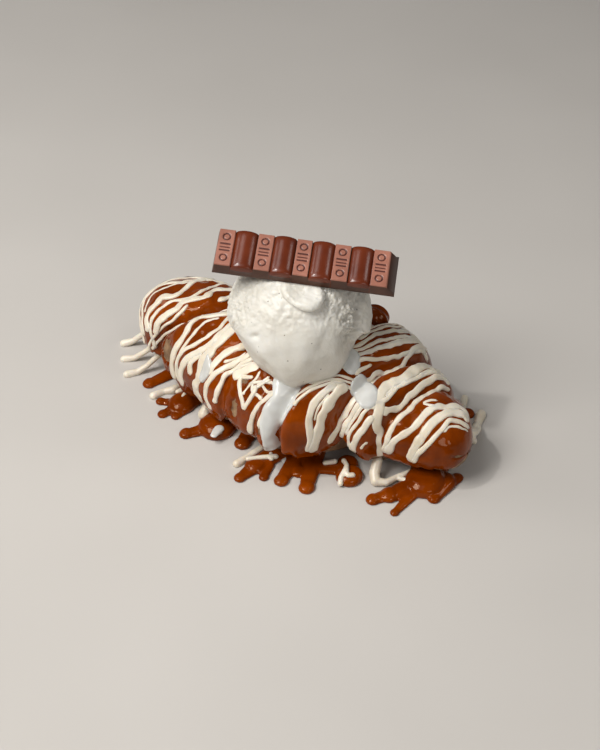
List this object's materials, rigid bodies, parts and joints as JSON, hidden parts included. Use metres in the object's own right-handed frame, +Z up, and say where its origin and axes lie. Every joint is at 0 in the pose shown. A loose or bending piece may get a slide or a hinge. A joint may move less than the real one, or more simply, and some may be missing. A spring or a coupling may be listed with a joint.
{
  "type": "croffle dessert",
  "caption": "Chocolate-coated croissant roll with white drizzle and sauce at its foot, topped by a scoop of ice cream and a chocolate bar.",
  "frame": {"origin": "on the plane that the croffle rests on, under the thick middle of the roll", "axes": "+X along the roll towards its slimmer end, +Y to its back, +Z up"},
  "size_m": [0.1892, 0.1083, 0.1065],
  "materials": {
    "croffle": "glossy milk chocolate coat with satin white drizzle",
    "ice_cream_scoop": "soft creamy ice cream, moist",
    "chocolate_bar": "moulded milk chocolate, semi-gloss"
  },
  "bodies": {
    "root": {"croffle": "croffle", "ice_cream_scoop": "ice_cream_scoop", "chocolate_bar": "chocolate_bar"}
  },
  "joints": []
}
